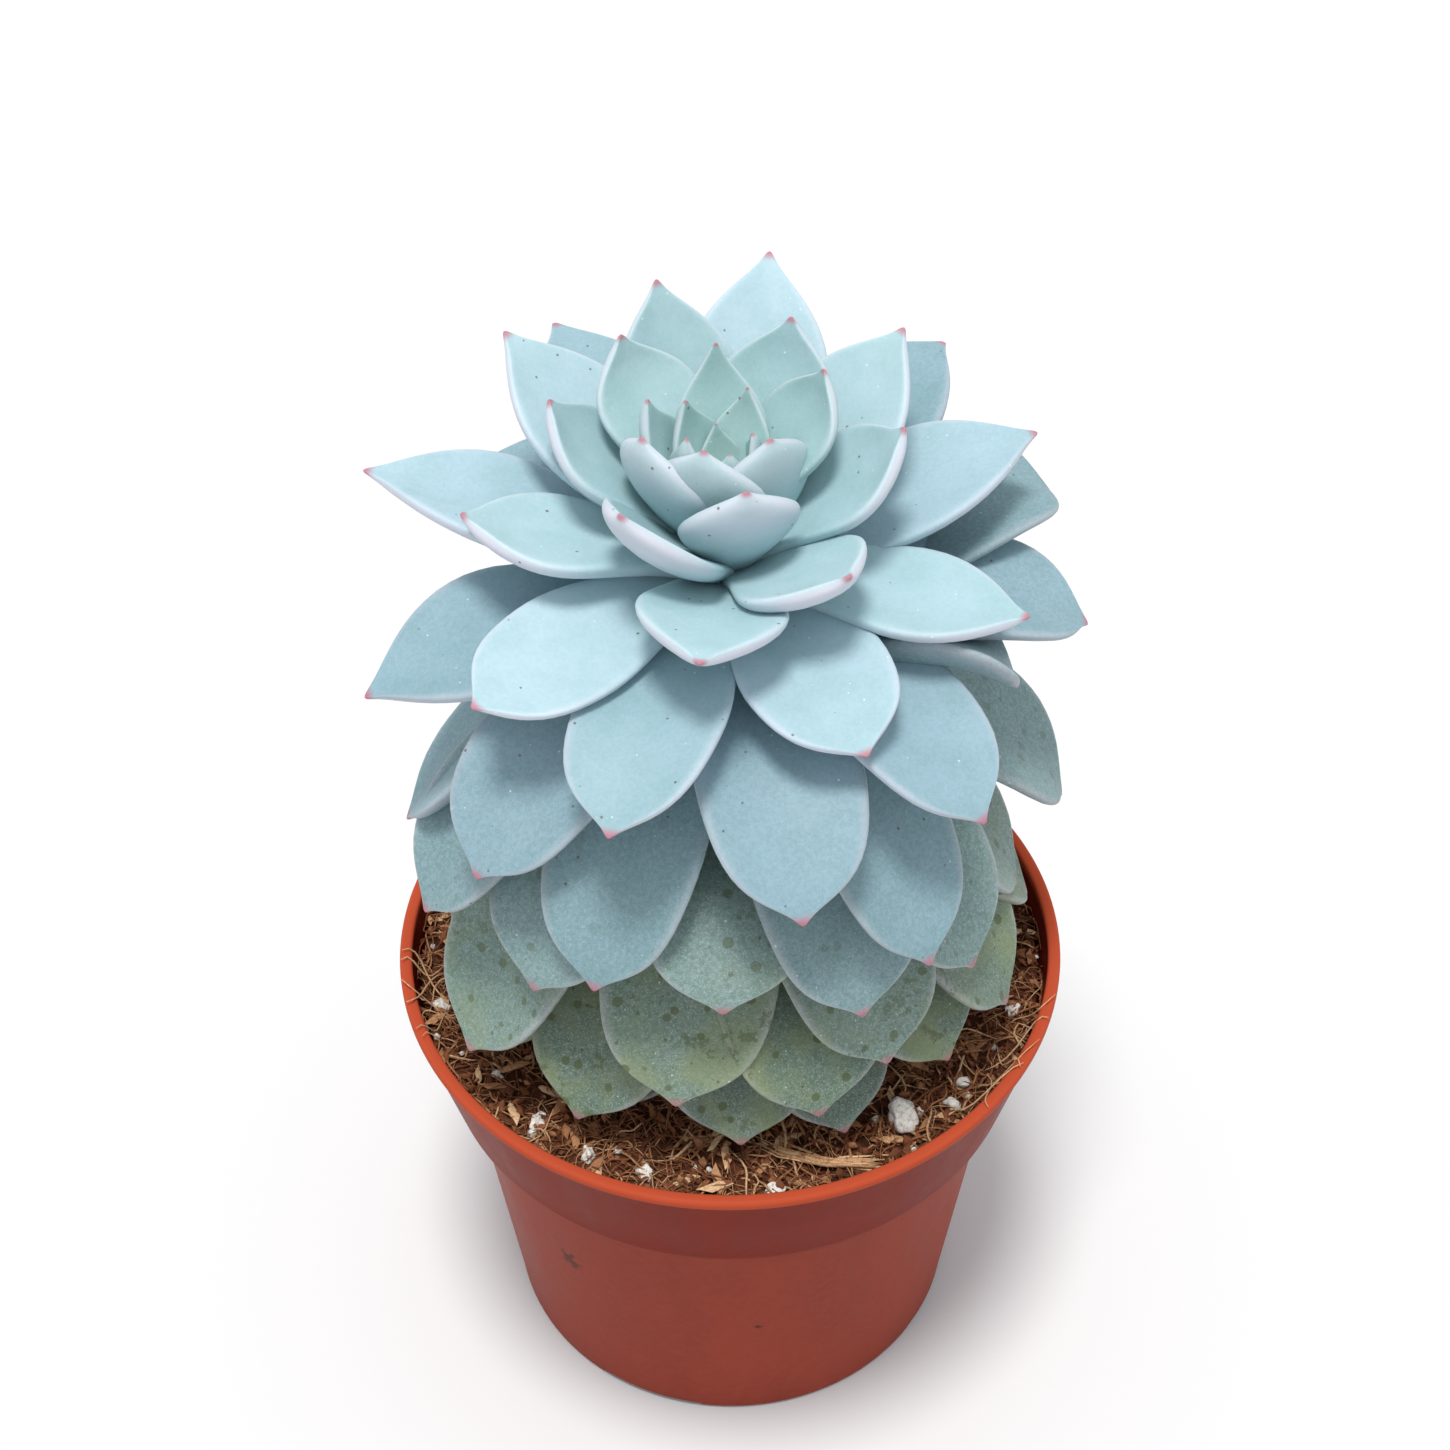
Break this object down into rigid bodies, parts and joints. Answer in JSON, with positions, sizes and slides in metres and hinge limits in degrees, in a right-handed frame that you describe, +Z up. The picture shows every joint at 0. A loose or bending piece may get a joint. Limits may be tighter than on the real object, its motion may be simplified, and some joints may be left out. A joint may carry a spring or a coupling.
{
  "type": "potted echeveria",
  "caption": "Blue-leaved rosette succulent with a tall column of fleshy drooping leaves, in potting soil with perlite and coir, in a thin terracotta-coloured plastic nursery pot.",
  "frame": {"origin": "centre of the pot's underside, on the surface it stands on", "axes": "+Z up along the pot's axis and the plant's stem; -Y is the side that the picture looks at"},
  "size_m": [0.1206, 0.1206, 0.2128],
  "materials": {
    "pot": "thin moulded plastic, dull with a soft sheen, brighter orange at the lip",
    "soil": "loose dark peat with coir fibre",
    "leaf": "fleshy leaf with a pale waxy bloom, pink margin and tip",
    "perlite": "rough off-white expanded mineral"
  },
  "bodies": {
    "root": {"pot": "pot", "soil": "soil", "echeveria": "leaf", "perlite_1": "perlite", "perlite_2": "perlite", "perlite_3": "perlite", "perlite_4": "perlite", "perlite_5": "perlite", "perlite_6": "perlite", "perlite_7": "perlite", "perlite_8": "perlite", "perlite_9": "perlite", "perlite_10": "perlite", "perlite_11": "perlite", "perlite_12": "perlite"}
  },
  "joints": []
}
